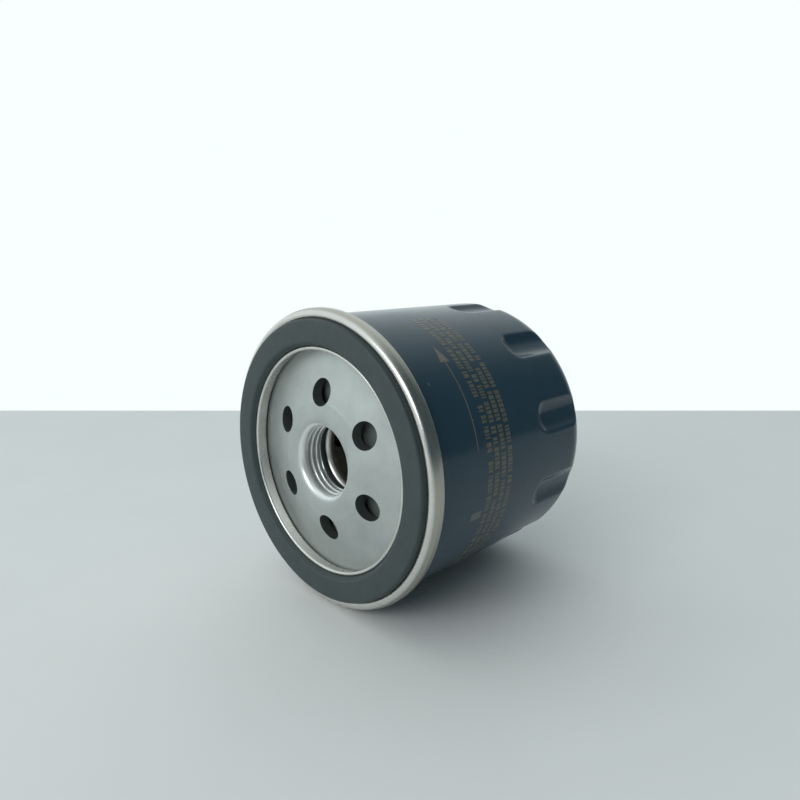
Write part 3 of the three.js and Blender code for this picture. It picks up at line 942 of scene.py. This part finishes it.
# painted light: the front end cap's tinplate is coloured brighter than the element's other tinplate, for
# its lit collar seen through the hub
lit_cap_tinplate = bright_tinplate("lit_cap_tinplate", tone=1.1, roughness=0.34)
finish(front_end_cap(), lit_cap_tinplate, "front_end_cap", ELEMENT)
finish(rear_end_cap(), dull_tinplate, "rear_end_cap", ELEMENT)
finish(ring("front_potting_bead", "front_potting", 0.2), plastisol, "front_potting", ELEMENT)
finish(ring("rear_potting_bead", "rear_potting", 0.2), plastisol, "rear_potting", ELEMENT)
finish(centre_tube(), dull_tinplate, "centre_tube", ELEMENT)
finish(pleated_media(), paper, "pleated_media", ELEMENT)
finish(media_seam_clip(), dull_tinplate, "media_seam_clip", ELEMENT)
finish(bypass_valve_seat(), dull_tinplate, "bypass_valve_seat", ELEMENT)
finish(bypass_valve_cage(), dull_tinplate, "bypass_valve_cage", ELEMENT)
finish(bypass_valve_disc(), plated, "bypass_valve_disc", "bypass_valve")
finish(ring("bypass_valve_seal_moulded", "bypass_valve_seal", 0.15), valve_rubber, "bypass_valve_seal",
       "bypass_valve")

_, spring_front, spring_rear = span("bypass_valve_spring")
bypass_spring = coil_spring("bypass_valve_spring_coiled", 5.4, 0.9, spring_front, spring_rear, 5.5)
finish(bypass_spring, steel_wire, "bypass_valve_spring", ELEMENT)
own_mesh(bypass_spring)

_, spring_front, spring_rear = span("support_spring")
support_spring = coil_spring("support_spring_coiled", 15.5, 2, spring_front, spring_rear, 2.5)
finish(support_spring, steel_wire, "support_spring")
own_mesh(support_spring)


# ---- floor, light and camera ----------------------------------------------------------------------

HEADING = math.radians(44.94)


def floor():
    """A pale table top that ends a little behind the filter, square to the way the camera looks."""
    ahead = Vector((-math.sin(HEADING), math.cos(HEADING), 0))
    aside = Vector((math.cos(HEADING), math.sin(HEADING), 0))
    low = Vector((0, 0, CAD_BOX[0].z))
    reach, behind = 1.5, 0.215
    corners = [low + aside * across + ahead * along
               for across, along in ((-reach, -reach), (reach, -reach), (reach, behind), (-reach, behind))]
    mesh = bpy.data.meshes.new("floor")
    mesh.from_pydata(corners, [], [(0, 1, 2, 3)])
    plane = bpy.data.objects.new("floor", mesh)
    bpy.context.collection.objects.link(plane)
    table = Finish("pale_table", (0.80, 0.81, 0.80), 0.6)
    table.color(table.mix(table.noise(40, 3), (0.78, 0.79, 0.78), (0.83, 0.84, 0.83)))
    mesh.materials.append(table.material)


def softbox(name, place, aim, width, height, power):
    """A rectangular area light."""
    data = bpy.data.lights.new(name, "AREA")
    data.shape = "RECTANGLE"
    data.size, data.size_y = width, height
    data.energy = power
    lamp = bpy.data.objects.new(name, data)
    lamp.location = place
    lamp.rotation_euler = (Vector(aim) - Vector(place)).to_track_quat("-Z", "Y").to_euler()
    bpy.context.collection.objects.link(lamp)


def soft_room(bright_side):
    """World light: bright on one side, dim on the other, with a pale wall behind the filter."""
    world = bpy.data.worlds.new("soft_room")
    bpy.context.scene.world = world
    world.use_nodes = True
    tree = world.node_tree
    background = tree.nodes["Background"]
    ray = tree.nodes.new("ShaderNodeTexCoord").outputs["Generated"]
    towards = tree.nodes.new("ShaderNodeVectorMath")
    towards.operation = "DOT_PRODUCT"
    towards.inputs[1].default_value = bright_side
    tree.links.new(ray, towards.inputs[0])
    fade = tree.nodes.new("ShaderNodeMapRange")
    fade.interpolation_type = "SMOOTHSTEP"
    fade.inputs["From Min"].default_value = -0.3
    fade.inputs["From Max"].default_value = 0.6
    tree.links.new(towards.outputs["Value"], fade.inputs["Value"])
    shade = tree.nodes.new("ShaderNodeMix")
    shade.data_type = "RGBA"
    shade.inputs[6].default_value = (0.085, 0.12, 0.135, 1)
    shade.inputs[7].default_value = (0.88, 0.97, 0.97, 1)
    tree.links.new(fade.outputs["Result"], shade.inputs[0])
    seen = tree.nodes.new("ShaderNodeLightPath")
    pale = tree.nodes.new("ShaderNodeMix")
    pale.data_type = "RGBA"
    pale.inputs[7].default_value = (0.94, 1.0, 1.0, 1)
    tree.links.new(seen.outputs["Is Camera Ray"], pale.inputs[0])
    tree.links.new(shade.outputs[2], pale.inputs[6])
    tree.links.new(pale.outputs[2], background.inputs["Color"])


def level_and_down(heading, down):
    """A direction that far round from +y towards -x, and that far below the level, in radians."""
    level = math.cos(down)
    return Vector((-math.sin(heading) * level, math.cos(heading) * level, -math.sin(down)))


def camera():
    """Where the photograph was taken from: close, to the right of the filter's axis and above it."""
    azimuth, elevation, distance = math.radians(52.6), math.radians(17.9), 0.1617
    tilt = math.radians(12.47)
    data = bpy.data.cameras.new("camera")
    data.lens = 29.2
    data.sensor_width = 36
    data.clip_start = 0.01
    seat = bpy.data.objects.new("camera", data)
    seat.location = level_and_down(azimuth, elevation) * -distance
    seat.rotation_euler = level_and_down(HEADING, tilt).to_track_quat("-Z", "Y").to_euler()
    bpy.context.collection.objects.link(seat)
    bpy.context.scene.camera = seat


floor()
soft_room(bright_side=Vector((-0.95, 0.0, 0.3)))
softbox("window", place=(0.16, -0.95, 0.54), aim=(0, 0, 0), width=0.8, height=0.5, power=4.6)
camera()
bpy.context.scene.view_settings.view_transform = "Standard"
